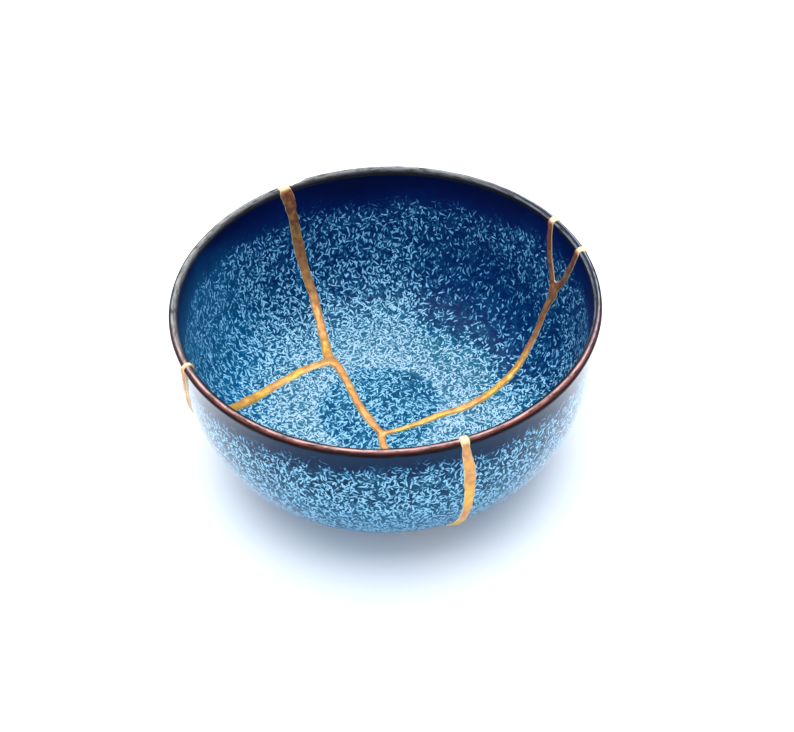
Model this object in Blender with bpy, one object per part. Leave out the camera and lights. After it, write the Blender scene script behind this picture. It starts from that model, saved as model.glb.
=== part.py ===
"""Kintsugi bowl: five ceramic shards held together by one network of gold lacquer.

Metres, +Z up. The origin is on the bowl's axis, in the plane that the foot ring stands on.
+X is the bowl's right and -Y its front. Azimuths run from +X towards +Y.
"""

import math

import bmesh
import bpy
from mathutils import Vector

# Driving dimensions, in metres.
RIM_DIAMETER = 0.140
HEIGHT = 0.067
LIP_THICKNESS = 0.0029
BASE_THICKNESS = 0.0060
FLOOR_DISH = 0.0003
FOOT_DIAMETER = 0.060
FOOT_HEIGHT = 0.0060
FOOT_WIDTH = 0.0046
FOOT_DRAFT = 0.0006
FOOT_CHAMFER = 0.0005
RECESS_DEPTH = 0.0054

# The wall's outer curve between the lip and the foot: how far down its upper handle hangs from the lip, how far
# that handle leans in, and how far out of the rim its lower handle lies.
SHOULDER_DROP = 0.0205
SHOULDER_LEAN = 0.0022
BELLY_REACH = 0.0058

# The gold lacquer.
CRACK_WIDTH = 0.0012
CLEARANCE = 0.0003
SEAM_WIDTH = 0.0034
BEAD_HEIGHT = 0.0007
BEAD_LAP = 0.0003
FOOT_FILL_INSET = 0.0002

# A chip in the outer edge of the rim beside the seam at the left back: deepest next to the seam, it runs out
# along the rim. Its depth and breadth are measured on the lip, square to its outer shoulder.
CHIP_AZIMUTH = math.radians(118.2)
CHIP_SLOPE = math.radians(49)
CHIP_LENGTH = 0.0064
CHIP_DEPTH = 0.0015
CHIP_BREADTH = 0.0048

# How finely the curves are divided.
TURN_STEPS = 60
WALL_STEPS = 15
LIP_STEPS = 5
SEAM_STEP = 0.0042
FLAT_ANGLE = math.radians(0.8)

# The cracks as routes on the bowl unrolled to a flat disc: azimuth in degrees, and share of the wall's run from
# the middle of the floor (0) to the lip (1). The third value is the bead's width there, as a share of SEAM_WIDTH.
RIM_LEFT_BACK = (121.2, 1.0, 1.44)
RIM_LEFT = (207.0, 1.0, 1.06)
RIM_FRONT = (287.5, 1.0, 1.12)
RIM_RIGHT_FRONT = (373.8, 1.0, 0.85)
RIM_RIGHT_BACK = (389.2, 1.0, 0.82)
FORK_LEFT = (132.5, 0.299, 1.12)
FORK_FRONT = (256.4, 0.132, 0.71)
FORK_RIGHT = (382.5, 0.758, 1.00)

LEFT_BACK_TO_LEFT_FORK = [
    RIM_LEFT_BACK, (120.1, 0.940, 1.26), (119.2, 0.764, 1.18), (118.7, 0.600, 1.09),
    (119.5, 0.514, 1.03), (123.2, 0.420, 1.00), (128.5, 0.344, 1.00), FORK_LEFT,
]
LEFT_FORK_TO_FRONT_FORK = [
    FORK_LEFT, (132.6, 0.262, 0.94), (137.7, 0.206, 0.91), (155.0, 0.136, 0.91),
    (190.0, 0.094, 0.88), (233.0, 0.100, 0.85), FORK_FRONT,
]
FRONT_FORK_TO_FRONT = [
    FORK_FRONT, (262.0, 0.180, 0.82), (272.0, 0.270, 0.88), (281.5, 0.400, 0.91),
    (287.3, 0.530, 0.97), (289.2, 0.680, 1.00), (289.2, 0.820, 1.00), (288.4, 0.920, 1.03), RIM_FRONT,
]
LEFT_FORK_TO_LEFT = [
    FORK_LEFT, (142.3, 0.325, 1.00), (153.8, 0.360, 1.00), (166.0, 0.406, 1.00), (176.5, 0.465, 1.00),
    (185.0, 0.535, 0.97), (192.0, 0.625, 0.94), (198.0, 0.740, 0.94), (202.6, 0.870, 0.97), RIM_LEFT,
]
FRONT_FORK_TO_RIGHT_FORK = [
    FORK_FRONT, (279.0, 0.118, 0.56), (317.0, 0.130, 0.68), (341.5, 0.177, 0.76), (353.0, 0.245, 0.82),
    (361.1, 0.305, 0.85), (368.3, 0.369, 0.82), (373.9, 0.434, 0.82), (378.3, 0.495, 0.82),
    (381.3, 0.552, 0.82), (383.2, 0.620, 0.82), (383.6, 0.686, 0.85), FORK_RIGHT,
]
RIGHT_FORK_TO_RIGHT_BACK = [
    FORK_RIGHT, (383.6, 0.785, 0.85), (385.3, 0.832, 0.79), (387.4, 0.880, 0.76), (388.4, 0.937, 0.76), RIM_RIGHT_BACK,
]
RIGHT_FORK_TO_RIGHT_FRONT = [
    FORK_RIGHT, (381.2, 0.797, 0.82), (378.4, 0.845, 0.76), (376.8, 0.892, 0.76), (375.2, 0.940, 0.76), RIM_RIGHT_FRONT,
]

# The azimuth at the middle of each shard's stretch of rim.
SHARDS = {
    "shard_small": 21.0,
    "shard_back": 75.0,
    "shard_left": 164.0,
    "shard_front_left": 247.0,
    "shard_front_right": 331.0,
}

RIM_RADIUS = RIM_DIAMETER / 2
LIP_RADIUS = LIP_THICKNESS / 2
FOOT_RADIUS = FOOT_DIAMETER / 2
FLOOR_LEVEL = FOOT_HEIGHT + BASE_THICKNESS
REACH = 2 * BASE_THICKNESS


def clear_scene():
    for obj in list(bpy.data.objects):
        bpy.data.objects.remove(obj, do_unlink=True)


def outer_curve(share):
    """A point of the wall's outer face, from the lip (0) down to the foot (1), with its tangent."""
    lip, foot = Vector((RIM_RADIUS, HEIGHT - LIP_RADIUS)), Vector((FOOT_RADIUS, FOOT_HEIGHT))
    upper = lip + Vector((-SHOULDER_LEAN, -SHOULDER_DROP))
    lower = Vector((RIM_RADIUS + BELLY_REACH, FOOT_HEIGHT))
    rest = 1 - share
    point = rest**3 * lip + 3 * rest**2 * share * upper + 3 * rest * share**2 * lower + share**3 * foot
    tangent = rest**2 * (upper - lip) + 2 * rest * share * (lower - upper) + share**2 * (foot - lower)
    return point, tangent.normalized()


class Wall:
    """The wall's section as stations from the middle of the floor up to the lip."""

    def __init__(self):
        self.inner, self.outer, self.normal = [], [], []
        shares = [(step / WALL_STEPS) ** 0.75 for step in range(WALL_STEPS + 1)]
        points = [outer_curve(share) for share in shares]
        lengths = [0.0]
        for (before, _), (after, _) in zip(points, points[1:]):
            lengths.append(lengths[-1] + (after - before).length)
        for (point, tangent), length in zip(points, lengths):
            inward = Vector((tangent.y, -tangent.x))
            thickness = LIP_THICKNESS + (BASE_THICKNESS - LIP_THICKNESS) * (length / lengths[-1]) ** 1.5
            self.outer.append(point)
            self.normal.append(inward)
            self.inner.append(point + inward * thickness)
        for radius_share in (0.5, 0.0):
            radius = FOOT_RADIUS * radius_share
            dish = FLOOR_DISH * (1 - radius_share**2)
            self.inner.append(Vector((radius, FLOOR_LEVEL - dish)))
            self.outer.append(Vector((radius, FOOT_HEIGHT)))
            self.normal.append(Vector((0.0, 1.0)))
        for stations in (self.inner, self.outer, self.normal):
            stations.reverse()
        self.run = [0.0]
        for before, after in zip(self.inner, self.inner[1:]):
            self.run.append(self.run[-1] + (after - before).length)
        self.length = self.run[-1]

    def at(self, share):
        """Inner point, outer point and inward normal at a share of the wall's run; over 1 it goes on above the lip."""
        length = share * self.length
        index = 1
        while index < len(self.run) - 1 and self.run[index] < length:
            index += 1
        part = (min(length, self.length) - self.run[index - 1]) / (self.run[index] - self.run[index - 1])
        inner, outer = (line[index - 1].lerp(line[index], part) for line in (self.inner, self.outer))
        normal = self.normal[index - 1].lerp(self.normal[index], part).normalized()
        above = Vector((0.0, max(length - self.length, 0.0)))
        return inner + above, outer + above, normal


WALL = Wall()


def lip_point(turn, proud=0.0):
    """A point of the lip's half round, from its outer side (0) over the top to its inner side (pi)."""
    radius = LIP_RADIUS + proud
    return Vector((
        RIM_RADIUS - LIP_RADIUS + radius * math.cos(turn), HEIGHT - LIP_RADIUS + radius * math.sin(turn)))


def foot_points(proud, inset):
    """The foot ring and the recess under the base, from the wall's end to the axis."""
    outside, inside = FOOT_RADIUS - inset, FOOT_RADIUS - FOOT_WIDTH + inset
    ground, ceiling = inset, RECESS_DEPTH + inset
    return [
        Vector((outside, FOOT_HEIGHT - proud)),
        Vector((outside - FOOT_DRAFT, ground + FOOT_CHAMFER)),
        Vector((outside - FOOT_DRAFT - FOOT_CHAMFER, ground)),
        Vector((inside + FOOT_CHAMFER, ground)),
        Vector((inside, ground + FOOT_CHAMFER)),
        Vector((inside - FOOT_DRAFT, ceiling)),
        Vector((0.0, ceiling)),
    ]


def bowl_section(proud=0.0, foot_inset=0.0):
    """The closed section from the lip down the outside, under the base and up the inside."""
    outer = [point - normal * proud for point, normal in zip(WALL.outer, WALL.normal)]
    inner = [point + normal * proud for point, normal in zip(WALL.inner, WALL.normal)]
    section = list(reversed(outer[-WALL_STEPS:]))
    section += foot_points(proud, foot_inset)
    section += inner
    section += [lip_point(math.pi * step / LIP_STEPS, proud) for step in range(LIP_STEPS - 1, 0, -1)]
    return section


def material(name, colour, roughness, metallic=0.0):
    made = bpy.data.materials.new(name)
    made.use_nodes = True
    shader = made.node_tree.nodes["Principled BSDF"]
    shader.inputs["Base Color"].default_value = (*colour, 1.0)
    shader.inputs["Roughness"].default_value = roughness
    shader.inputs["Metallic"].default_value = metallic
    return made


def add_object(name, mesh):
    obj = bpy.data.objects.new(name, mesh)
    bpy.context.scene.collection.objects.link(obj)
    return obj


def mesh_of(name, work):
    """A mesh of triangles, which stay flat however a sweep twists."""
    bmesh.ops.triangulate(work, faces=work.faces)
    bmesh.ops.recalc_face_normals(work, faces=work.faces)
    mesh = bpy.data.meshes.new(name)
    work.to_mesh(mesh)
    work.free()
    return mesh


def revolve(name, section):
    """A solid of revolution about Z from a closed section whose ends lie on the axis."""
    work = bmesh.new()
    verts = [work.verts.new((point.x, 0.0, point.y)) for point in section]
    edges = [work.edges.new(pair) for pair in zip(verts, verts[1:] + verts[:1])]
    axis_edges = [edge for edge in edges if all(vert.co.x < 1e-9 for vert in edge.verts)]
    for edge in axis_edges:
        edges.remove(edge)
        work.edges.remove(edge)
    bmesh.ops.spin(
        work, geom=verts + edges, cent=(0, 0, 0), axis=(0, 0, 1), angle=2 * math.pi,
        steps=TURN_STEPS, use_merge=True, use_duplicate=False,
    )
    bmesh.ops.remove_doubles(work, verts=work.verts, dist=1e-6)
    return add_object(name, mesh_of(name, work))


def on_disc(station):
    azimuth, share, width = station
    turn = math.radians(azimuth)
    return Vector((share * math.cos(turn), share * math.sin(turn), width * SEAM_WIDTH))


def smooth_route(stations, spacing, trim):
    """Points about a spacing apart on a smooth curve through the stations, as (azimuth, share, width).

    The curve is cut short by the trim at both ends."""
    knots = [on_disc(station) for station in stations]
    knots = [2 * knots[0] - knots[1], *knots, 2 * knots[-1] - knots[-2]]
    fine = []
    for before, start, end, after in zip(knots, knots[1:], knots[2:], knots[3:]):
        leave, arrive = (end - before) / 2, (after - start) / 2
        for step in range(12):
            part = step / 12
            fine.append(
                (2 * part**3 - 3 * part**2 + 1) * start + (part**3 - 2 * part**2 + part) * leave
                + (3 * part**2 - 2 * part**3) * end + (part**3 - part**2) * arrive
            )
    fine.append(knots[-2])
    gone = [0.0]
    for before, after in zip(fine, fine[1:]):
        gone.append(gone[-1] + (after - before).xy.length * WALL.length)
    span = gone[-1] - 2 * trim
    steps = max(2, round(span / spacing))
    route, index = [], 1
    for step in range(steps + 1):
        length = trim + span * step / steps
        while index < len(gone) - 1 and gone[index] < length:
            index += 1
        part = (length - gone[index - 1]) / (gone[index] - gone[index - 1])
        point = fine[index - 1].lerp(fine[index], part)
        route.append((math.atan2(point.y, point.x), point.xy.length, point.z))
    return route


def in_space(azimuth, point):
    return Vector((point.x * math.cos(azimuth), point.x * math.sin(azimuth), point.y))


def sweep(name, frames, section_of):
    """A closed solid through a ring of section points at each frame: (origin, side, out, width)."""
    work = bmesh.new()
    rings = []
    for origin, side, out, width in frames:
        rings.append([work.verts.new(origin + side * x + out * y) for x, y in section_of(width)])
    for before, after in zip(rings, rings[1:]):
        count = len(before)
        for index in range(count):
            work.faces.new((before[index], before[index - 1], after[index - 1], after[index]))
    work.faces.new(rings[0])
    work.faces.new(list(reversed(rings[-1])))
    return add_object(name, mesh_of(name, work))


def sides(points, outs):
    """The direction across a swept line at each point, square to the line and to its outward direction."""
    made = []
    for index, out in enumerate(outs):
        along = points[min(index + 1, len(points) - 1)] - points[max(index - 1, 0)]
        made.append(along.cross(out).normalized())
    return made


def curtain(name, route, thickness, longer=1.0):
    """A sheet of even thickness through the wall, square to it, that follows a crack.

    A branch reaches a little further out of the wall, so that its edges don't lie in those of the main crack."""
    middles, outs, reaches = [], [], []
    for azimuth, share, _ in route:
        inner, outer, normal = WALL.at(share)
        inner, outer = in_space(azimuth, inner), in_space(azimuth, outer)
        middles.append(inner.lerp(outer, 0.5))
        outs.append(in_space(azimuth, normal))
        reaches.append((inner - outer).length)
    frames = [
        (middle, side, out, reach) for middle, side, out, reach in zip(middles, sides(middles, outs), outs, reaches)
    ]
    below, above = longer * REACH, longer * REACH / 2
    return sweep(name, frames, lambda reach: [
        (-thickness / 2, -reach / 2 - below), (thickness / 2, -reach / 2 - below),
        (thickness / 2, reach / 2 + above), (-thickness / 2, reach / 2 + above),
    ])


def bead_section(width, lift):
    base, shoulder, top = CLEARANCE + lift, CLEARANCE + 0.68 * BEAD_HEIGHT, CLEARANCE + BEAD_HEIGHT - lift
    return [(-width / 2, base), (width / 2, base), (0.36 * width, shoulder), (0.0, top), (-0.36 * width, shoulder)]


def bead(name, stations, lift=0.0):
    """The raised line of lacquer along stations of (point, outward direction, width).

    A branch is lifted a little, so that its faces don't lie in those of the bead that it branches from."""
    points = [point for point, _, _ in stations]
    outs = [out for _, out, _ in stations]
    widths = [width for _, _, width in stations]
    return sweep(name, list(zip(points, sides(points, outs), outs, widths)), lambda width: bead_section(width, lift))


def inside(route):
    stations = []
    for azimuth, share, width in route:
        inner, _, normal = WALL.at(share)
        stations.append((in_space(azimuth, inner), in_space(azimuth, normal), width))
    return stations


def outside(route):
    """The stretch of a route that lies on the outside, up to a bead's width from the foot ring."""
    stations = []
    for azimuth, share, width in route:
        _, outer, normal = WALL.at(share)
        if outer.x > FOOT_RADIUS + SEAM_WIDTH:
            stations.append((in_space(azimuth, outer), in_space(azimuth, -normal), width))
    return stations


def over_lip(end):
    """The way from the inside over the lip to the outside at the end of a route."""
    azimuth, _, width = end
    stations = []
    for step in range(LIP_STEPS, -1, -1):
        turn = math.pi * (step + 0.5) / (LIP_STEPS + 1)
        out = Vector((math.cos(turn), math.sin(turn)))
        stations.append((in_space(azimuth, lip_point(turn)), in_space(azimuth, out), width))
    return stations


def boolean(target, others, operation):
    """A Boolean of the target with all the others at once."""
    group = bpy.data.collections.new(target.name + "_" + operation.lower())
    bpy.context.scene.collection.children.link(group)
    for other in others:
        bpy.context.scene.collection.objects.unlink(other)
        group.objects.link(other)
        other.hide_render = True
        other.display_type = "WIRE"
    modifier = target.modifiers.new(group.name, "BOOLEAN")
    modifier.operation = operation
    modifier.solver = "EXACT"
    modifier.operand_type = "COLLECTION"
    modifier.collection = group
    apply_modifiers(target)
    for other in list(group.objects):
        bpy.data.objects.remove(other, do_unlink=True)
    bpy.data.collections.remove(group)


def apply_modifiers(obj):
    bpy.context.view_layer.update()
    graph = bpy.context.evaluated_depsgraph_get()
    work = bmesh.new()
    work.from_mesh(obj.evaluated_get(graph).data)
    bmesh.ops.dissolve_limit(work, angle_limit=FLAT_ANGLE, verts=work.verts, edges=work.edges)
    obj.modifiers.clear()
    obj.data = mesh_of(obj.name, work)


def finish(obj, look):
    obj.data.materials.clear()
    obj.data.materials.append(look)
    for polygon in obj.data.polygons:
        polygon.material_index = 0
    obj.data.shade_smooth()
    obj.data.set_sharp_from_angle(angle=math.radians(30))
    obj.display_type = "TEXTURED"


def loose_parts(mesh):
    """The mesh's separate bodies, each as a list of its polygons."""
    parent = list(range(len(mesh.vertices)))

    def root(index):
        while parent[index] != index:
            parent[index] = parent[parent[index]]
            index = parent[index]
        return index

    for edge in mesh.edges:
        first, second = root(edge.vertices[0]), root(edge.vertices[1])
        parent[max(first, second)] = min(first, second)
    bodies = {}
    for polygon in mesh.polygons:
        bodies.setdefault(root(polygon.vertices[0]), []).append(polygon)
    return list(bodies.values())


def shard_name(mesh, polygons):
    """The shard whose middle azimuth lies nearest to the middle of this body's stretch of rim."""
    used = {index for polygon in polygons for index in polygon.vertices}
    high = [mesh.vertices[index].co for index in used if mesh.vertices[index].co.z > HEIGHT - LIP_THICKNESS]
    middle = sum((point.xy.normalized() for point in high), Vector((0.0, 0.0)))
    return min(SHARDS, key=lambda name: -middle.dot(Vector((
        math.cos(math.radians(SHARDS[name])), math.sin(math.radians(SHARDS[name]))))))


def chip_cutter():
    """A lens of air over the outer shoulder of the lip, short on the seam's side and long on the other."""
    work = bmesh.new()
    bmesh.ops.create_icosphere(work, subdivisions=2, radius=1.0)
    for vert in work.verts:
        along = vert.co.y * CHIP_LENGTH * (1.0 if vert.co.y < 0 else 0.3)
        vert.co = Vector((vert.co.x * 1.5 * CHIP_DEPTH, along, vert.co.z * 0.5 * CHIP_BREADTH))
    chip = add_object("chip", mesh_of("chip", work))
    shoulder = LIP_RADIUS + 0.5 * CHIP_DEPTH
    centre = Vector((RIM_RADIUS - LIP_RADIUS + shoulder * math.cos(CHIP_SLOPE),
                     HEIGHT - LIP_RADIUS + shoulder * math.sin(CHIP_SLOPE)))
    chip.location = in_space(CHIP_AZIMUTH, centre)
    chip.rotation_euler = (0.0, -CHIP_SLOPE, CHIP_AZIMUTH)
    return chip


def crack_routes(spacing, trim=0.0):
    """The seven cracks, each from its fork outwards."""
    stations = {
        "left_back": list(reversed(LEFT_BACK_TO_LEFT_FORK)), "floor": LEFT_FORK_TO_FRONT_FORK,
        "front": FRONT_FORK_TO_FRONT, "left": LEFT_FORK_TO_LEFT, "right": FRONT_FORK_TO_RIGHT_FORK,
        "right_back": RIGHT_FORK_TO_RIGHT_BACK, "right_front": RIGHT_FORK_TO_RIGHT_FRONT,
    }
    return {name: smooth_route(list_of, spacing, trim) for name, list_of in stations.items()}


def back(route):
    return list(reversed(route))


def curtains(routes, thickness):
    """Sheets that follow all the cracks, run out past the lip. One runs from rim to rim, the rest branch off."""
    past = (LIP_THICKNESS + BASE_THICKNESS) / WALL.length

    def beyond(route):
        azimuth, share, width = route[-1]
        return route + [(azimuth, share + past, width)]

    return [
        curtain("rim_to_rim", back(beyond(routes["left_back"])) + routes["floor"][1:] + beyond(routes["front"])[1:],
                thickness),
        curtain("left", beyond(routes["left"]), thickness, 1.05),
        curtain("right", routes["right"] + beyond(routes["right_back"])[1:], thickness, 1.05),
        curtain("right_front", beyond(routes["right_front"]), thickness, 1.1),
    ]


def beads(routes):
    def up_and_over(route):
        return inside(route) + over_lip(route[-1]) + outside(back(route))

    lift = 0.08 * BEAD_HEIGHT
    rim_to_rim = back(up_and_over(routes["left_back"])) + inside(routes["floor"]) + up_and_over(routes["front"])
    right = inside(routes["right"]) + up_and_over(routes["right_back"]) + outside(back(routes["right"]))
    return [
        bead("bead_rim_to_rim", rim_to_rim),
        bead("bead_left", up_and_over(routes["left"]), lift),
        bead("bead_right", right, lift),
        bead("bead_right_front", up_and_over(routes["right_front"]), 2 * lift),
    ]


def split_shards(bowl, looks):
    for polygons in loose_parts(bowl.data):
        name = shard_name(bowl.data, polygons)
        work = bmesh.new()
        copies = {}
        for polygon in polygons:
            for index in polygon.vertices:
                if index not in copies:
                    copies[index] = work.verts.new(bowl.data.vertices[index].co)
            work.faces.new([copies[index] for index in polygon.vertices])
        mesh = bpy.data.meshes.new(name)
        work.to_mesh(mesh)
        work.free()
        finish(add_object(name, mesh), looks[name])
    bpy.data.objects.remove(bowl, do_unlink=True)


def main():
    clear_scene()
    looks = {
        "shard_back": material("glazed_stoneware_back", (0.012, 0.045, 0.14), 0.22),
        "shard_left": material("glazed_stoneware_left", (0.012, 0.060, 0.16), 0.22),
        "shard_front_left": material("glazed_stoneware_front_left", (0.010, 0.040, 0.13), 0.22),
        "shard_front_right": material("glazed_stoneware_front_right", (0.012, 0.040, 0.12), 0.22),
        "shard_small": material("glazed_stoneware_small", (0.010, 0.035, 0.11), 0.22),
    }
    routes = crack_routes(SEAM_STEP)

    bowl = revolve("bowl", bowl_section())
    boolean(bowl, [chip_cutter(), *curtains(routes, CRACK_WIDTH)], "DIFFERENCE")
    split_shards(bowl, looks)

    # The lacquer: a fill in every crack, cut to the wall's own section, and the raised beads on it.
    gold_seam, *others = curtains(routes, CRACK_WIDTH - 2 * CLEARANCE)
    gold_seam.name = "gold_seam"
    boolean(gold_seam, others, "UNION")
    boolean(gold_seam, [revolve("envelope", bowl_section(CLEARANCE + BEAD_LAP, FOOT_FILL_INSET))], "INTERSECT")
    boolean(gold_seam, beads(crack_routes(0.9 * SEAM_STEP, CRACK_WIDTH / 2)), "UNION")
    finish(gold_seam, material("gold_lacquer", (0.78, 0.42, 0.10), 0.3, 1.0))


if __name__ == "__main__":
    main()
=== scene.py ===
"""Kintsugi bowl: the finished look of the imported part, in metres, +Z up.

The origin is on the bowl's axis, in the plane that the foot ring stands on. +X is the bowl's right and -Y its
front. Azimuths run from +X towards +Y.
"""

import math

import bmesh
import bpy
import numpy as np
from mathutils import Euler, Matrix, Vector, noise


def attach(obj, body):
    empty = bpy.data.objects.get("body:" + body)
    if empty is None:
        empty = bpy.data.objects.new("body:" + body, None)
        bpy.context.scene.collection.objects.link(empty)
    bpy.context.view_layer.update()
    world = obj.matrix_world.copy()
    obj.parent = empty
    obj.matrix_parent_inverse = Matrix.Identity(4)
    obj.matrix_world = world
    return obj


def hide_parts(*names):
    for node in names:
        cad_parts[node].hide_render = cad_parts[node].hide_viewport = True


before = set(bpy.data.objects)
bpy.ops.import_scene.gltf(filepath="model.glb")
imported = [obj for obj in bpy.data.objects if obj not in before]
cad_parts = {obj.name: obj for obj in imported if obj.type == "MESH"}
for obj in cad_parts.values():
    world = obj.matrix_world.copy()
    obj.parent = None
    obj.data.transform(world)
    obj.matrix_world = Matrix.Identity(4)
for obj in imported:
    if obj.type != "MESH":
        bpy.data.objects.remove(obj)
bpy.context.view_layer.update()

bl_info = {
    "name": "Kintsugi bowl",
    "version": (1, 0, 0),
    "blender": (4, 5, 0),
    "location": "3D View > Sidebar > Kintsugi",
    "description": "Dresses the mended bowl: glazed shards, gold lacquer seams and a studio stage",
    "category": "Object",
}

MM = 0.001

# The glaze's colour ramps run over this many millimetres down the wall, and the lip's over this many across it.
WALL_SPAN, LIP_BAND = 100.0, 6.0

# The layers of crystals: the cells that hold one each and half the length of one, in millimetres.
CRYSTALS = ((2.6, 1.95), (2.2, 1.65), (1.85, 1.4), (1.55, 1.2), (1.3, 1.0))
CRYSTAL_HALF_WIDTH = 0.37

# How far the foot's corners are rounded, and up to where the foot is bare of glaze.
FOOT_BEVEL, BARE_FOOT = 0.7 * MM, 6.8 * MM

# The middle of the pool of glaze on the floor.
POOL_CENTRE = (-3.5 * MM, -1.5 * MM, 12 * MM)

# The cracks as routes on the bowl unrolled to a flat disc: azimuth in degrees, share of the wall's run from the
# middle of the floor (0) to the lip (1), and the width of the lacquer there as a share of the seam width.
CRACKS = {
    "left_back": [
        (132.5, 0.299, 1.12), (128.5, 0.344, 1.0), (123.2, 0.42, 1.0), (119.5, 0.514, 1.03),
        (118.7, 0.6, 1.09), (119.2, 0.764, 1.18), (120.1, 0.94, 1.26), (121.2, 1.0, 1.44),
    ],
    "floor": [
        (132.5, 0.299, 1.12), (132.6, 0.262, 0.94), (137.7, 0.206, 0.91), (155.0, 0.136, 0.91),
        (190.0, 0.094, 0.88), (233.0, 0.1, 0.85), (256.4, 0.132, 0.71),
    ],
    "front": [
        (256.4, 0.132, 0.71), (262.0, 0.18, 0.82), (272.0, 0.27, 0.88), (281.5, 0.4, 0.91),
        (287.3, 0.53, 0.97), (289.2, 0.68, 1.06), (289.2, 0.82, 1.18), (288.4, 0.92, 1.15),
        (287.5, 1.0, 0.82),
    ],
    "left": [
        (132.5, 0.299, 1.12), (142.3, 0.325, 1.0), (153.8, 0.36, 1.0), (166.0, 0.406, 1.0),
        (176.5, 0.465, 1.0), (185.0, 0.535, 0.97), (192.0, 0.625, 0.94), (198.0, 0.74, 0.94),
        (202.6, 0.87, 0.97), (207.0, 1.0, 0.52),
    ],
    "right": [
        (256.4, 0.132, 0.71), (279.0, 0.118, 0.56), (317.0, 0.13, 0.68), (341.5, 0.177, 0.76),
        (353.0, 0.245, 0.82), (361.1, 0.305, 0.85), (368.3, 0.369, 0.82), (373.9, 0.434, 0.82),
        (378.3, 0.495, 0.82), (381.3, 0.552, 0.82), (383.2, 0.62, 0.82), (383.6, 0.686, 0.85),
        (382.5, 0.758, 1.0),
    ],
    "right_back": [
        (382.5, 0.758, 1.0), (383.6, 0.785, 0.85), (385.3, 0.832, 0.79), (387.4, 0.88, 0.76),
        (388.4, 0.937, 0.76), (389.2, 1.0, 0.82),
    ],
    "right_front": [
        (382.5, 0.758, 1.0), (381.2, 0.797, 0.82), (378.4, 0.845, 0.76), (376.8, 0.892, 0.76),
        (375.2, 0.94, 0.76), (373.8, 1.0, 0.85),
    ],
}

# The azimuth at the middle of each shard's stretch of rim, and its slot.
SHARDS = {
    "shard_small": (21.0, "glaze_small"),
    "shard_back": (75.0, "glaze_back"),
    "shard_left": (164.0, "glaze_left"),
    "shard_front_left": (247.0, "glaze_front_left"),
    "shard_front_right": (331.0, "glaze_front_right"),
}


def linear(code):
    """An sRGB hex colour as linear red, green, blue and alpha."""
    parts = [int(code[index:index + 2], 16) / 255 for index in (1, 3, 5)]
    return (*(part / 12.92 if part <= 0.04045 else ((part + 0.055) / 1.055) ** 2.4 for part in parts), 1.0)


def length_setting(name, description, default):
    return bpy.props.FloatProperty(
        name=name, description=description, default=default, min=0.0, unit="LENGTH", subtype="DISTANCE",
        precision=5)


def colour_setting(name, description, code):
    return bpy.props.FloatVectorProperty(
        name=name, description=description, default=linear(code), size=4, min=0.0, max=1.0, subtype="COLOR")


class BowlSettings(bpy.types.PropertyGroup):
    """Sizes and colours of the glazed bowl."""

    rim_diameter: length_setting("Rim diameter", "Outside diameter of the lip", 0.140)
    height: length_setting("Height", "From the table to the top of the lip", 0.067)
    lip_thickness: length_setting("Lip thickness", "Thickness of the wall at the lip", 0.0029)
    base_thickness: length_setting("Base thickness", "Thickness of the wall at the foot", 0.0060)
    floor_dish: length_setting("Floor dish", "How far the middle of the floor sinks", 0.0003)
    foot_diameter: length_setting("Foot diameter", "Outside diameter of the foot ring", 0.060)
    foot_height: length_setting("Foot height", "Height of the foot ring", 0.0060)
    foot_width: length_setting("Foot width", "Width of the foot ring's standing face", 0.0046)
    foot_draft: length_setting("Foot draft", "How far the foot ring's sides lean", 0.0006)
    recess_depth: length_setting("Recess depth", "Depth of the recess under the base", 0.0054)
    shoulder_drop: length_setting("Shoulder drop", "How far the wall's upper handle hangs from the lip", 0.0205)
    shoulder_lean: length_setting("Shoulder lean", "How far the wall's upper handle leans in", 0.0022)
    belly_reach: length_setting("Belly reach", "How far out of the rim the wall's lower handle lies", 0.0058)
    unevenness: length_setting("Unevenness", "How far the thrown wall strays from a true turned one", 0.00018)
    glaze_night: colour_setting("Glaze under the lip", "Where the glaze lies plain and dark", "#010d3c")
    glaze_deep: colour_setting("Glaze on the wall", "Between the flecks of the upper wall", "#012559")
    glaze_sea: colour_setting("Glaze at the left", "Where the glaze turns greener", "#03507a")
    glaze_light: colour_setting("Glaze round the pool", "Between the flecks low in the bowl", "#2e5c76")
    glaze_pool: colour_setting("Glaze in the pool", "Between the flecks in the middle of the floor", "#043e60")
    fleck_dim: colour_setting("High flecks", "Streaks under the lip", "#8ccaee")
    fleck_bright: colour_setting("Low flecks", "Crystals in the lower bowl", "#a8c4d4")
    fleck_pool: colour_setting("Pool flecks", "Crystals in the pool", "#8cc0da")
    # Grey of the lip's crest at the back: iron grey with a painted reflection of the light above.
    lip_grey_and_sheen: colour_setting("Lip", "Iron grey where the glaze breaks at the back of the lip", "#9c9b98")
    lip_red: colour_setting("Front of the lip", "Iron red where the glaze is thinnest", "#6c322c")
    clay_colour: colour_setting("Clay", "Bare stoneware at the foot and in the chip", "#9a8c80")


class SeamSettings(bpy.types.PropertyGroup):
    """Sizes and colours of the gold lacquer."""

    width: length_setting("Seam width", "Usual width of a raised line of lacquer", 0.0034)
    height: length_setting("Seam height", "Usual height of a raised line of lacquer over the glaze", 0.00075)
    depth: length_setting("Seam depth", "How far the lacquer is keyed in below the glaze", 0.0004)
    crack: length_setting("Crack width", "Gap between two shards", 0.00025)
    web: length_setting("Web thickness", "Thickness of the lacquer inside a crack", 0.0008)
    grain: length_setting("Grain", "Finest detail of the lacquer's shape", 0.00029)
    gold: colour_setting("Gold", "Burnished gold powder", "#dc9a56")
    rich: colour_setting("Rich gold", "Where the powder lies thickest", "#ecb244")
    # The copper colour stands for worn gold and, high on the inside walls, for a painted dark reflection.
    copper: colour_setting("Worn gold", "Thin gold over brown lacquer", "#7e3e26")
    # The gold edge colour is a painted highlight along the bead's rounded edges and over the lip.
    edge: colour_setting("Gold edge", "Pale dusting along the edges and over the lip", "#f2dcae")


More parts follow.
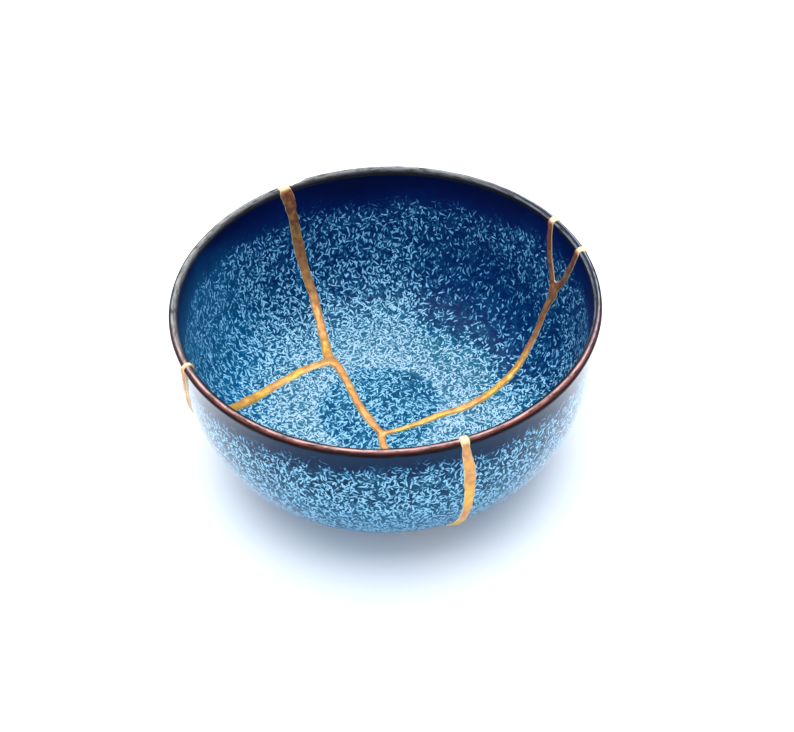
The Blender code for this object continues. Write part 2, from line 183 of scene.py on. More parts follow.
class StageSettings(bpy.types.PropertyGroup):
    """The floor, the lights and the camera's place."""

    floor_colour: colour_setting("Floor", "Plain pale floor", "#f6f7f9")
    fill_colour: colour_setting("Fill colour", "Soft light from all round", "#e6f1ff")
    fill_strength: bpy.props.FloatProperty(
        name="Fill strength", description="Strength of the light from all round", default=1.05, min=0.0)
    key_power: bpy.props.FloatProperty(
        name="Key power", description="Power of the soft light overhead", default=16.0, min=0.0, unit="POWER")
    focal_length: bpy.props.FloatProperty(
        name="Focal length", description="Focal length in millimetres on a 36 mm sensor", default=48.78,
        min=1.0)


def bare_scene_selection():
    if bpy.context.object and bpy.context.object.mode != "OBJECT":
        bpy.ops.object.mode_set(mode="OBJECT")
    bpy.ops.object.select_all(action="DESELECT")


def select_only(*objects):
    bare_scene_selection()
    for obj in objects:
        obj.select_set(True)
    bpy.context.view_layer.objects.active = objects[0]


def apply_modifier(obj, kind, **settings):
    select_only(obj)
    modifier = obj.modifiers.new(kind.title(), kind)
    for name, value in settings.items():
        setattr(modifier, name, value)
    bpy.ops.object.modifier_apply(modifier=modifier.name)


def coordinates(mesh):
    points = np.empty(len(mesh.vertices) * 3)
    mesh.vertices.foreach_get("co", points)
    return points.reshape(-1, 3)


def set_coordinates(mesh, points):
    mesh.vertices.foreach_set("co", np.asarray(points, float).ravel())
    mesh.update()


class Wall:
    """The wall's section as stations from the middle of the floor up to the lip."""

    def __init__(self, bowl, steps=72):
        self.bowl = bowl
        self.lip_radius = bowl.lip_thickness / 2
        self.rim_radius, self.foot_radius = bowl.rim_diameter / 2, bowl.foot_diameter / 2
        self.floor_level = bowl.foot_height + bowl.base_thickness
        lip = np.array((self.rim_radius, bowl.height - self.lip_radius))
        foot = np.array((self.foot_radius, bowl.foot_height))
        upper = lip - (bowl.shoulder_lean, bowl.shoulder_drop)
        lower = np.array((self.rim_radius + bowl.belly_reach, bowl.foot_height))
        share = np.linspace(0, 1, steps + 1)[:, None]
        rest = 1 - share
        outer = rest**3 * lip + 3 * rest**2 * share * upper + 3 * rest * share**2 * lower + share**3 * foot
        tangent = rest**2 * (upper - lip) + 2 * rest * share * (lower - upper) + share**2 * (foot - lower)
        tangent /= np.linalg.norm(tangent, axis=1)[:, None]
        inward = np.stack((tangent[:, 1], -tangent[:, 0]), axis=1)
        gone = np.concatenate(([0], np.cumsum(np.linalg.norm(np.diff(outer, axis=0), axis=1))))
        thickness = bowl.lip_thickness + (bowl.base_thickness - bowl.lip_thickness) * (gone / gone[-1]) ** 1.5
        inner = outer + inward * thickness[:, None]
        self.wall_outer, self.wall_inner = outer, inner
        radius = np.linspace(self.foot_radius, 0, 16)[1:]
        sunk = self.floor_level - bowl.floor_dish * (1 - (radius / self.foot_radius) ** 2)
        self.floor = np.stack((radius, sunk), axis=1)
        under = np.stack((radius, np.full_like(radius, bowl.foot_height)), axis=1)
        self.inner = np.concatenate((inner, self.floor))[::-1]
        self.outer = np.concatenate((outer, under))[::-1]
        self.normal = np.concatenate((inward, np.tile((0.0, 1.0), (len(radius), 1))))[::-1]
        self.run = np.concatenate(([0], np.cumsum(np.linalg.norm(np.diff(self.inner, axis=0), axis=1))))
        self.length = self.run[-1]

    def at(self, share):
        """Inner point, outer point and inward normal at a share of the run; over 1 it goes on above the lip."""
        gone = min(share * self.length, self.length)
        inner, outer, normal = (
            Vector([np.interp(gone, self.run, line[:, axis]) for axis in (0, 1)])
            for line in (self.inner, self.outer, self.normal)
        )
        above = Vector((0.0, max(share - 1, 0.0) * self.length))
        return inner + above, outer + above, normal.normalized()

    def lip_arc(self, steps):
        """The lip's half round from its outer side over the top to its inner side, ends left out."""
        turns = np.arange(1, steps) * math.pi / steps
        centre = (self.rim_radius - self.lip_radius, self.bowl.height - self.lip_radius)
        return np.stack((np.cos(turns), np.sin(turns)), axis=1) * self.lip_radius + centre

    def section(self):
        """The whole section from the middle of the underside round the outside and the lip to the floor."""
        bowl = self.bowl
        inside = self.foot_radius - bowl.foot_width
        foot = np.array([
            (0.0, bowl.recess_depth), (inside - bowl.foot_draft, bowl.recess_depth), (inside, 0.0),
            (self.foot_radius - bowl.foot_draft, 0.0),
        ])
        return np.concatenate((foot, self.wall_outer[::-1], self.lip_arc(16), self.wall_inner, self.floor))

    def foot_corners(self):
        return [*self.section()[1:5]]


def in_space(azimuth, point):
    return Vector((point.x * math.cos(azimuth), point.x * math.sin(azimuth), point.y))


def along_section(wall, points):
    """For each point its distance along the section from the lip's top, over 0 inside, and its height."""
    line = wall.section()
    steps = np.diff(line, axis=0)
    lengths = np.linalg.norm(steps, axis=1)
    gone = np.concatenate(([0], np.cumsum(lengths)))
    top = gone[int(np.argmax(line[:, 1]))]
    flat = np.stack((np.hypot(points[:, 0], points[:, 1]), points[:, 2]), axis=1)
    run, lift = np.empty(len(flat)), np.empty(len(flat))
    for start in range(0, len(flat), 4096):
        some = flat[start:start + 4096]
        away = some[:, None, :] - line[None, :-1, :]
        part = np.clip((away * steps).sum(2) / lengths**2, 0, 1)
        gap = np.linalg.norm(away - part[:, :, None] * steps, axis=2)
        best = gap.argmin(1)
        rows = np.arange(len(some))
        run[start:start + 4096] = gone[best] + part[rows, best] * lengths[best] - top
        lift[start:start + 4096] = gap[rows, best]
    return run, lift


def store(obj, name, values):
    attribute = obj.data.attributes.new(name, "FLOAT", "POINT")
    attribute.data.foreach_set("value", np.asarray(values, np.float32))


def laid_grid(name, columns, rows, place):
    """A grid primitive whose points are laid out by their column and row."""
    bare_scene_selection()
    bpy.ops.mesh.primitive_grid_add(x_subdivisions=columns - 1, y_subdivisions=rows - 1, size=2)
    obj = bpy.context.object
    obj.name = name
    points = coordinates(obj.data)
    if len(points) != columns * rows:
        raise RuntimeError(f"{name}: the grid has {len(points)} points, not {columns} x {rows}")
    laid = [
        place(round((x + 1) / 2 * (columns - 1)), round((y + 1) / 2 * (rows - 1))) for x, y, _ in points
    ]
    set_coordinates(obj.data, laid)
    return obj


def route(stations, wall, width, spacing):
    """Points at an even spacing on a smooth curve through the stations, as (azimuth, share, width)."""
    knots = [
        Vector((share * math.cos(math.radians(turn)), share * math.sin(math.radians(turn)), part * width))
        for turn, share, part in stations
    ]
    knots = [2 * knots[0] - knots[1], *knots, 2 * knots[-1] - knots[-2]]
    fine = []
    for before, start, end, after in zip(knots, knots[1:], knots[2:], knots[3:]):
        leave, arrive = (end - before) / 2, (after - start) / 2
        for part in (step / 24 for step in range(24)):
            fine.append(
                (2 * part**3 - 3 * part**2 + 1) * start + (part**3 - 2 * part**2 + part) * leave
                + (3 * part**2 - 2 * part**3) * end + (part**3 - part**2) * arrive
            )
    fine = np.array([*fine, knots[-2]])
    gone = np.concatenate(([0], np.cumsum(np.linalg.norm(np.diff(fine[:, :2], axis=0), axis=1)))) * wall.length
    places = np.linspace(0, gone[-1], max(3, round(gone[-1] / spacing) + 1))
    x, y, widths = (np.interp(places, gone, fine[:, axis]) for axis in range(3))
    return list(zip(np.arctan2(y, x), np.hypot(x, y), widths))


def routes(wall, width, spacing):
    return {name: route(stations, wall, width, spacing) for name, stations in CRACKS.items()}


def beyond(stations, wall):
    """A route carried on past the lip."""
    azimuth, share, width = stations[-1]
    return stations + [(azimuth, share + 0.09, width)]


def crack_lines(wall, width, spacing, past_lip):
    """The cracks as four lines: one from rim to rim and three that branch off it."""
    ways = routes(wall, width, spacing)
    if past_lip:
        for name in ("left_back", "front", "left", "right_back", "right_front"):
            ways[name] = beyond(ways[name], wall)
    return {
        "rim_to_rim": ways["left_back"][::-1] + ways["floor"][1:] + ways["front"][1:],
        "left": ways["left"],
        "right": ways["right"] + ways["right_back"][1:],
        "right_front": ways["right_front"],
    }


def sheet(name, stations, wall, thickness, top, bottom):
    """A thin sheet through the wall along a crack, from below the outer face to above the inner one."""
    edges = []
    for azimuth, share, _ in stations:
        inner, outer, normal = wall.at(share)
        edges.append((in_space(azimuth, bottom(outer, normal)), in_space(azimuth, top(inner, normal))))
    obj = laid_grid(name, len(stations), 2, lambda column, row: edges[column][row])
    apply_modifier(obj, "SOLIDIFY", thickness=thickness, offset=0.0)
    apply_modifier(obj, "TRIANGULATE", quad_method="FIXED")
    return obj


def join(objects, name):
    select_only(*objects)
    bpy.ops.object.join()
    joined = bpy.context.object
    joined.name = name
    return joined


def cut(obj, cutters):
    group = bpy.data.collections.new(obj.name + "_cutters")
    bpy.context.scene.collection.children.link(group)
    for cutter in cutters:
        group.objects.link(cutter)
    apply_modifier(obj, "BOOLEAN", operation="DIFFERENCE", solver="EXACT", operand_type="COLLECTION",
                   collection=group, material_mode="TRANSFER")
    for cutter in cutters:
        bpy.data.objects.remove(cutter, do_unlink=True)
    bpy.data.collections.remove(group)


def add_node(tree, kind, inputs=(), stops=(), span=1.0, **settings):
    """Adds a node with its settings, its inputs by name or in order, and the stops of a ramp.

    A node given as an input stands for the first of its outputs that is in use. A stop is a place on the ramp,
    whose end lies at span, and a colour or a shade of grey.
    """
    node = tree.nodes.new("ShaderNode" + kind)
    for name, value in settings.items():
        setattr(node, name, value)
    in_use = [socket for socket in node.inputs if socket.enabled]
    for name, value in (inputs if isinstance(inputs, dict) else dict(enumerate(inputs))).items():
        socket = in_use[name] if isinstance(name, int) else node.inputs[name]
        if isinstance(value, bpy.types.Node):
            value = next(output for output in value.outputs if output.enabled)
        if isinstance(value, bpy.types.NodeSocket):
            tree.links.new(value, socket)
        else:
            socket.default_value = value
    for index, (place, tone) in enumerate(stops):
        if isinstance(tone, (int, float)):
            tone = (tone, tone, tone, 1.0)
        elements = node.color_ramp.elements
        element = elements[index] if index < 2 else elements.new(place / span)
        element.position, element.color = place / span, linear(tone) if isinstance(tone, str) else tone
    return node


def new_material(name):
    material = bpy.data.materials.new(name)
    material.use_nodes = True
    tree = material.node_tree
    tree.nodes.clear()
    shader = add_node(tree, "BsdfPrincipled")
    add_node(tree, "OutputMaterial", {"Surface": shader})
    return material, tree, shader


def glaze_inside(tree, bowl, place, down, flat, round_x, cloud):
    """Inside the bowl: the colour of the glass between the crystals, theirs, and how closely they crowd."""
    # The glaze lies thinner high at the sides and deeper at the right back.
    deep = add_node(tree, "VectorMath", [flat, (0.743, 0.669, 0.0)], operation="DOT_PRODUCT")
    deep = add_node(tree, "MapRange", [deep, 0.70, 0.98, 0.0, 17.0], interpolation_type="SMOOTHSTEP")
    low = add_node(tree, "MapRange", [down, 14.0, 42.0], interpolation_type="SMOOTHSTEP")
    lowest = add_node(tree, "MapRange", [down, 58.0, 72.0, 1.0, 0.2], interpolation_type="SMOOTHSTEP")
    deep = add_node(tree, "Math", [deep, low], operation="MULTIPLY")
    sunk = add_node(tree, "Math", [deep, lowest], operation="MULTIPLY")
    level = add_node(tree, "Math", [down, sunk], operation="SUBTRACT")
    sideways = add_node(tree, "SeparateXYZ", [place]).outputs["X"]
    sideways = add_node(tree, "Math", [sideways], operation="ABSOLUTE")
    thin = add_node(tree, "MapRange", [low, 0.0, 1.0, 90.0, 22.0])
    level = add_node(tree, "Math", [sideways, thin, level], operation="MULTIPLY_ADD")
    level = add_node(tree, "Math", [cloud, -12.0, level], operation="MULTIPLY_ADD")
    level = add_node(tree, "Math", [level, 6.0], operation="ADD")
    level = add_node(tree, "Math", [level, WALL_SPAN], operation="DIVIDE")
    gap = add_node(tree, "ValToRGB", [level], (
        (3, "#010a30"), (9, bowl.glaze_night), (15, "#011750"), (21, bowl.glaze_deep), (47, "#012856"),
        (55, "#012f58"), (60, "#03395f"), (65, "#0d4a6e"), (70, "#20566f"), (84, bowl.glaze_light)), WALL_SPAN)
    fleck = add_node(tree, "ValToRGB", [level], (
        (8, "#1b4a80"), (14, "#4a88bc"), (20, bowl.fleck_dim), (36, "#90cef0"), (54, "#98ceea"),
        (61, "#a0d0e6"), (68, "#a6c8da"), (78, bowl.fleck_bright)), WALL_SPAN)
    crowd = add_node(tree, "ValToRGB", [level], (
        (8, -0.05), (14, 0.05), (21, 0.34), (34, 0.37), (50, 0.43), (60, 0.56), (68, 0.68), (84, 0.76),
    ), WALL_SPAN)
    crowd = add_node(tree, "Math", [deep, -0.008, crowd], operation="MULTIPLY_ADD")

    # At the left the glass is greener, down to where the bottom begins.
    left = add_node(tree, "MapRange", [round_x, -0.66, -1.0], interpolation_type="SMOOTHSTEP")
    upper = add_node(tree, "ValToRGB", [level], ((8, 0), (24, 1), (56, 1), (68, 0)), WALL_SPAN)
    left = add_node(tree, "Math", [left, upper], operation="MULTIPLY")
    gap = add_node(tree, "Mix", [left, gap, bowl.glaze_sea], data_type="RGBA")

    # The pool: the glaze ran together in the middle of the floor, a little to the left.
    away = add_node(tree, "VectorMath", [place, POOL_CENTRE], operation="DISTANCE")
    away = add_node(tree, "Math", [cloud, 6 * MM, away], operation="MULTIPLY_ADD")
    pool = add_node(tree, "MapRange", [away, 26.2 * MM, 22.8 * MM], interpolation_type="SMOOTHSTEP")
    gap = add_node(tree, "Mix", [pool, gap, bowl.glaze_pool], data_type="RGBA")
    fleck = add_node(tree, "Mix", [pool, fleck, bowl.fleck_pool], data_type="RGBA")
    crowd = add_node(tree, "Math", [pool, -0.22, crowd], operation="MULTIPLY_ADD")
    return gap, fleck, crowd


def glaze_outside(tree, down, cloud):
    """Outside the bowl: the colour of the glass between the crystals, theirs, and how closely they crowd."""
    level = add_node(tree, "Math", [cloud, 5.0, down], operation="MULTIPLY_ADD")
    level = add_node(tree, "Math", [level, WALL_SPAN], operation="DIVIDE")
    # Both colours darken from about 40 mm down towards the foot: painted shade under the belly.
    gap = add_node(tree, "ValToRGB", [level], (
        (5, "#0a2844"), (8, "#062542"), (11, "#022040"), (27, "#04304e"), (34, "#124664"), (41, "#1e5270"),
        (70, "#184966"), (100, "#144260")), WALL_SPAN)
    fleck = add_node(tree, "ValToRGB", [level], (
        (7, "#346894"), (12, "#74b0d4"), (18, "#96cde8"), (33, "#8cc2de"), (43, "#74a8c6"), (70, "#6294b2"),
        (100, "#5888a8")), WALL_SPAN)
    crowd = add_node(tree, "ValToRGB", [level], (
        (6, -0.05), (9, 0.12), (14, 0.45), (36, 0.58), (46, 0.6), (100, 0.5)), WALL_SPAN)
    return gap, fleck, crowd


def crystal_layers(tree, place, crowd):
    """Needles of titanium crystal, about half a millimetre wide and 2 to 3 mm long, a little bent.

    Each layer has one in each cell of a pattern: it lies in the surface at an angle of its own, mostly down the
    wall, and some are faint or missing.
    """
    normal = add_node(tree, "NewGeometry").outputs["Normal"]
    warp = add_node(tree, "TexNoise", {"Vector": place, "Scale": 1000 / 2.6, "Detail": 0.0}).outputs["Color"]
    bent = add_node(tree, "VectorMath", [warp, (1.6 * MM,) * 3, place], operation="MULTIPLY_ADD")
    crystals = 0.0
    for index, (cell, length) in enumerate(CRYSTALS):
        moved = add_node(tree, "VectorMath", [bent, (11 * MM * index, 17 * MM * index, 0.0)])
        cells = add_node(tree, "TexVoronoi", {"Vector": moved, "Scale": 1000 / cell})
        chance = cells.outputs["Color"]
        away = add_node(tree, "VectorMath", [moved, cells.outputs["Position"]], operation="SUBTRACT")
        along = add_node(tree, "VectorMath", [chance, (-0.5, -0.5, -0.08)])
        across = add_node(tree, "VectorMath", [normal, along], operation="CROSS_PRODUCT")
        across = add_node(tree, "VectorMath", [across], operation="NORMALIZE")
        across = add_node(tree, "VectorMath", [across, away], operation="DOT_PRODUCT")
        across = add_node(tree, "Math", [across, 1000 / CRYSTAL_HALF_WIDTH], operation="MULTIPLY")
        reach = add_node(tree, "VectorMath", [away], operation="LENGTH")
        reach = add_node(tree, "Math", [reach, 1000 / length], operation="MULTIPLY")
        outline = add_node(tree, "Math", [across, across], operation="MULTIPLY")
        outline = add_node(tree, "Math", [reach, reach, outline], operation="MULTIPLY_ADD")
        shape = add_node(tree, "MapRange", [outline, 1.0, 0.0], interpolation_type="SMOOTHSTEP")
        draw = add_node(tree, "VectorMath", [chance, (3.1, 5.7, 7.3)], operation="DOT_PRODUCT")
        draw = add_node(tree, "Math", [draw], operation="FRACT")
        draw = add_node(tree, "Math", [draw, -1.0], operation="MULTIPLY")
        bright = add_node(tree, "Math", [crowd, 1.35, draw], operation="MULTIPLY_ADD")
        bright = add_node(tree, "Math", [bright, 2.5], operation="MULTIPLY", use_clamp=True)
        needle = add_node(tree, "Math", [shape, bright], operation="MULTIPLY")
        crystals = add_node(tree, "Math", [crystals, needle], operation="MAXIMUM")
    return crystals


def crystal_glass(tree, place, gap, fleck, crowd, crystals):
    """The glaze with its crystals: sea blue where one thins out and in patches of the glass between them."""
    halo = add_node(tree, "Mix", [0.34, gap, fleck], data_type="RGBA")
    halo = add_node(tree, "VectorMath", [halo, (0.22, 0.80, 0.92)], operation="MULTIPLY")
    patch = add_node(tree, "TexNoise", {"Vector": place, "Scale": 1000 / 4.5, "Detail": 2.0})
    patch = add_node(tree, "MapRange", [patch, 0.42, 0.68, 0.0, 0.55], interpolation_type="SMOOTHSTEP")
    patch = add_node(tree, "Math", [patch, crowd], operation="MULTIPLY", use_clamp=True)
    thin = add_node(tree, "MapRange", [crystals, 0.0, 0.40])
    thin = add_node(tree, "Math", [thin, patch], operation="MAXIMUM")
    body = add_node(tree, "Mix", [thin, gap, halo], data_type="RGBA")
    solid = add_node(tree, "MapRange", [crystals, 0.28, 0.82])
    return add_node(tree, "Mix", [solid, body, fleck], data_type="RGBA")


def iron_lip(tree, bowl, place, run, down, round_x, round_y, inside):
    """The lip's colour, and how far it is bare of glaze.

    The glaze runs off the edge, so that its crest is streaked along the rim. A painted highlight lies along the
    crest: a grey sheen at the back, two pale lines at the right and a pale pink band at the front, and painted
    shade darkens both sides of it to near black. It is grey at the back, darker at the right and red at the
    front.
    """
    rolled = add_node(tree, "CombineXYZ", [
        add_node(tree, "Math", [part, 12 * MM], operation="MULTIPLY") for part in (round_x, round_y)] + [run])
    streak = add_node(tree, "TexNoise", {
        "Vector": rolled, "Scale": 1000 / 0.8, "Detail": 4.0, "Roughness": 0.65})
    across = add_node(tree, "Math", [run, 1000 / LIP_BAND, 0.5], operation="MULTIPLY_ADD")
    across = add_node(tree, "Math", [streak, 0.06, across], operation="MULTIPLY_ADD")
    # Across the lip: painted shade near black on both sides, and a painted highlight on the crest.
    back_lip_with_sheen = add_node(tree, "ValToRGB", [across], (
        (0.20, "#050507"), (0.38, "#0b0b0d"), (0.43, "#4c4c4c"), (0.50, bowl.lip_grey_and_sheen), (0.64, "#7d7c7a"),
        (0.78, "#4c4c50"), (0.95, "#1d1e26")))
    right_lip_with_highlights = add_node(tree, "ValToRGB", [across], (
        (0.30, "#07070b"), (0.43, "#12131a"), (0.49, "#a2a6b0"), (0.54, "#3c3e48"), (0.62, "#0d0f17"),
        (0.74, "#7c818e"), (0.82, "#10121a")))
    front_lip_with_highlight = add_node(tree, "ValToRGB", [across], (
        (0.19, "#0c0810"), (0.30, "#1c0a0e"), (0.37, bowl.lip_red), (0.44, "#8e5e5a"), (0.50, "#d4b2ac"),
        (0.56, "#a47c78"), (0.60, "#3a2226"), (0.63, "#0c0a10")))
    right = add_node(tree, "MapRange", [round_x, 0.30, 0.80], interpolation_type="SMOOTHSTEP")
    lip = add_node(tree, "Mix", [right, back_lip_with_sheen, right_lip_with_highlights], data_type="RGBA")
    front = add_node(tree, "MapRange", [round_y, -0.05, -0.70], interpolation_type="SMOOTHSTEP")
    lip = add_node(tree, "Mix", [front, lip, front_lip_with_highlight], data_type="RGBA")
    worn_lip = add_node(tree, "MapRange", [streak, 0.36, 0.56, 0.85, 0.0])
    lip = add_node(tree, "Mix", [worn_lip, lip, linear("#26201f")], data_type="RGBA")
    slope, middle = (1.0, 2.0) if inside else (-0.2, 1.8)
    reach = add_node(tree, "Math", [round_y, slope, middle], operation="MULTIPLY_ADD")
    ragged = add_node(tree, "TexNoise", {"Vector": place, "Scale": 1000 / 2.5, "Detail": 2.0})
    reach = add_node(tree, "Math", [ragged, 0.5, reach], operation="MULTIPLY_ADD")
    past = add_node(tree, "Math", [down, reach], operation="SUBTRACT")
    bare = add_node(tree, "MapRange", [past, 0.0, 0.3, 1.0, 0.0], interpolation_type="SMOOTHSTEP")
    return lip, bare


def rutile_glaze(bowl, inside):
    """Rutile blue glaze over a dark iron slip: dipped and fired on stoneware, so that it breaks to brown at the
    lip, stays plain navy under it and fills with pale crystals that run down the wall and crowd in the bottom.
    Inside the bowl it cooled slowly and is satin, outside it is glossy."""
    material, tree, shader = new_material("rutile_glaze_satin" if inside else "rutile_glaze_gloss")
    place = add_node(tree, "TexCoord").outputs["Object"]
    run = add_node(tree, "Attribute", attribute_name="run").outputs["Fac"]
    down = add_node(tree, "Math", [run], operation="ABSOLUTE")
    down = add_node(tree, "Math", [down, 1000.0], operation="MULTIPLY")
    cloud = add_node(tree, "TexNoise", {"Vector": place, "Scale": 1000 / 22, "Detail": 2.0})
    flat = add_node(tree, "VectorMath", [place, (1.0, 1.0, 0.0)], operation="MULTIPLY")
    flat = add_node(tree, "VectorMath", [flat], operation="NORMALIZE")
    round_x, round_y, _ = add_node(tree, "SeparateXYZ", [flat]).outputs
    if inside:
        gap, fleck, crowd = glaze_inside(tree, bowl, place, down, flat, round_x, cloud)
    else:
        gap, fleck, crowd = glaze_outside(tree, down, cloud)
    crystals = crystal_layers(tree, place, crowd)
    body = crystal_glass(tree, place, gap, fleck, crowd, crystals)
    lip, bare = iron_lip(tree, bowl, place, run, down, round_x, round_y, inside)
    colour = add_node(tree, "Mix", [bare, body, lip], data_type="RGBA")

    # Crystals stand a few hundredths of a millimetre proud of a surface that is itself gently rippled.
    ripple = add_node(tree, "TexNoise", {"Vector": place, "Scale": 1000 / 3.5, "Detail": 2.0})
    relief = add_node(tree, "Math", [crystals, 0.3, ripple], operation="MULTIPLY_ADD")
    bump = add_node(tree, "Bump", {"Strength": 0.4, "Distance": 0.07 * MM, "Height": relief})
    tree.links.new(colour.outputs["Result"], shader.inputs["Base Color"])
    tree.links.new(bump.outputs["Normal"], shader.inputs["Normal"])
    shader.inputs["IOR"].default_value = 1.5
    shader.inputs["Roughness"].default_value = 0.30 if inside else 0.20
    shader.inputs["Specular IOR Level"].default_value = 0.05
    if not inside:
        # A clear skin of glass, thicker at the sides, which shows where the glaze is seen at a flat angle.
        facing = add_node(tree, "LayerWeight", [0.5]).outputs["Facing"]
        thick = add_node(tree, "Math", [round_x], operation="ABSOLUTE")
        thick = add_node(tree, "MapRange", [thick, 0.18, 0.85, 0.04, 0.9], interpolation_type="SMOOTHSTEP")
        skin = add_node(tree, "MapRange", [facing, 0.30, 0.90], interpolation_type="SMOOTHSTEP")
        skin = add_node(tree, "Math", [thick, skin], operation="MULTIPLY")
        skin = add_node(tree, "MapRange", [bare, 0.0, 1.0, skin, 0.0])
        tree.links.new(skin.outputs["Result"], shader.inputs["Coat Weight"])
        shader.inputs["Coat Roughness"].default_value = 0.12
    return material


def bare_stoneware(bowl):
    """Unglazed stoneware, fired: a dry, sandy clay body with darker grains of iron."""
    material, tree, shader = new_material("unglazed_stoneware")
    place = add_node(tree, "TexCoord").outputs["Object"]
    grit = add_node(tree, "TexNoise", {"Vector": place, "Scale": 1000 / 0.8, "Detail": 4.0, "Roughness": 0.65})
    colour = add_node(tree, "ValToRGB", [grit], (
        (0.30, "#5d4f47"), (0.46, bowl.clay_colour), (0.70, "#b8aa9c")))
    bump = add_node(tree, "Bump", {"Strength": 0.6, "Distance": 0.1 * MM, "Height": grit})
    tree.links.new(colour.outputs["Color"], shader.inputs["Base Color"])
    tree.links.new(bump.outputs["Normal"], shader.inputs["Normal"])
    shader.inputs["Roughness"].default_value = 0.82
    return material


def gold_lacquer(seam):
    """Urushi lacquer dusted with gold powder and burnished: it shines yellow where the powder lies thick, turns
    to copper brown where the lacquer shows through and, high on the back and right walls, as a painted dark
    reflection, and its edges and its top over the lip are pale with a painted highlight."""
    material, tree, shader = new_material("gold_dusted_lacquer")
    place = add_node(tree, "TexCoord").outputs["Object"]
    lift = add_node(tree, "Attribute", attribute_name="lift").outputs["Fac"]
    worn_and_dark_reflection = add_node(tree, "Attribute", attribute_name="worn_and_dark_reflection").outputs["Fac"]
    mottle = add_node(tree, "TexNoise", {"Vector": place, "Scale": 1000 / 2.6, "Detail": 4.0, "Roughness": 0.6})
    # Copper brown where the lacquer shows through and, high on the inside walls, as a painted dark reflection.
    amount = add_node(tree, "Math", [mottle, 1.8, worn_and_dark_reflection], operation="MULTIPLY_ADD")
    amount = add_node(tree, "Math", [amount, 0.78], operation="SUBTRACT", use_clamp=True)
    rich = add_node(tree, "TexNoise", {"Vector": place, "Scale": 1000 / 24, "Detail": 1.0})
    rich = add_node(tree, "MapRange", [rich, 0.48, 0.62], interpolation_type="SMOOTHSTEP")
    colour = add_node(tree, "Mix", [rich, seam.gold, seam.rich], data_type="RGBA")
    colour = add_node(tree, "Mix", [amount, colour, seam.copper], data_type="RGBA")
    # Painted highlight: pale along the bead's low edges and on its top over the lip.
    edge = add_node(tree, "MapRange", [lift, 0.15 * MM, 0.45 * MM, 0.8, 0.0], interpolation_type="SMOOTHSTEP")
    top = add_node(tree, "SeparateXYZ", [place]).outputs["Z"]
    top = add_node(tree, "MapRange", [top, 66.0 * MM, 67.0 * MM, 0.0, 0.8], interpolation_type="SMOOTHSTEP")
    edge = add_node(tree, "Math", [edge, top], operation="MAXIMUM")
    colour = add_node(tree, "Mix", [edge, colour, seam.edge], data_type="RGBA")
    roughness = add_node(tree, "Math", [mottle, 0.3, 0.26], operation="MULTIPLY_ADD")
    grain = add_node(tree, "TexNoise", {"Vector": place, "Scale": 1000 / 0.5, "Detail": 2.0, "Roughness": 0.6})
    bump = add_node(tree, "Bump", {"Strength": 0.5, "Distance": 0.05 * MM, "Height": grain})
    tree.links.new(colour.outputs["Result"], shader.inputs["Base Color"])
    tree.links.new(roughness.outputs["Value"], shader.inputs["Roughness"])
    tree.links.new(bump.outputs["Normal"], shader.inputs["Normal"])
    metallic = add_node(tree, "Math", [amount, -0.25, 0.40], operation="MULTIPLY_ADD")
    tree.links.new(metallic.outputs["Value"], shader.inputs["Metallic"])
    return material


def turned_bowl(wall):
    """The whole bowl before it broke: its section spun, its foot's corners bevelled, its wall a bit uneven."""
    section = wall.section()
    bare_scene_selection()
    bpy.ops.mesh.primitive_circle_add(vertices=len(section), radius=1.0)
    bowl = bpy.context.object
    bowl.name = "thrown_bowl"
    set_coordinates(bowl.data, [(radius, 0.0, height) for radius, height in section])
    bpy.ops.object.mode_set(mode="EDIT")
    mesh = bmesh.from_edit_mesh(bowl.data)
    for edge in mesh.edges:
        edge.select = all(vert.co.x < 1e-6 for vert in edge.verts)
    bpy.ops.mesh.delete(type="EDGE")
    bpy.ops.mesh.select_all(action="SELECT")
    bpy.ops.mesh.spin(steps=300, angle=2 * math.pi, center=(0, 0, 0), axis=(0, 0, 1))
    bpy.ops.mesh.select_all(action="SELECT")
    bpy.ops.mesh.remove_doubles(threshold=1e-6)
    bpy.ops.mesh.normals_make_consistent(inside=False)
    bpy.ops.mesh.select_all(action="DESELECT")
    bpy.ops.mesh.select_mode(type="EDGE")
    mesh = bmesh.from_edit_mesh(bowl.data)
    for edge in mesh.edges:
        flats = [Vector((vert.co.xy.length, vert.co.z)) for vert in edge.verts]
        edge.select = any(
            all((flat - Vector(corner)).length < 1e-5 for flat in flats) for corner in wall.foot_corners())
    mesh.select_flush_mode()
    bpy.ops.mesh.bevel(offset=FOOT_BEVEL, segments=3, affect="EDGES")
    bpy.ops.object.mode_set(mode="OBJECT")

    # The wall strays fully above 20 mm and the foot, up to 8 mm, not at all.
    points = coordinates(bowl.data)
    for index, vert in enumerate(bowl.data.vertices):
        free = min(max((vert.co.z - 8 * MM) / (12 * MM), 0.0), 1.0)
        stray = noise.noise(vert.co * 26) + 0.35 * noise.noise(vert.co * 75)
        points[index] += np.array(vert.normal) * wall.bowl.unevenness * free * stray
    set_coordinates(bowl.data, points)
    return bowl


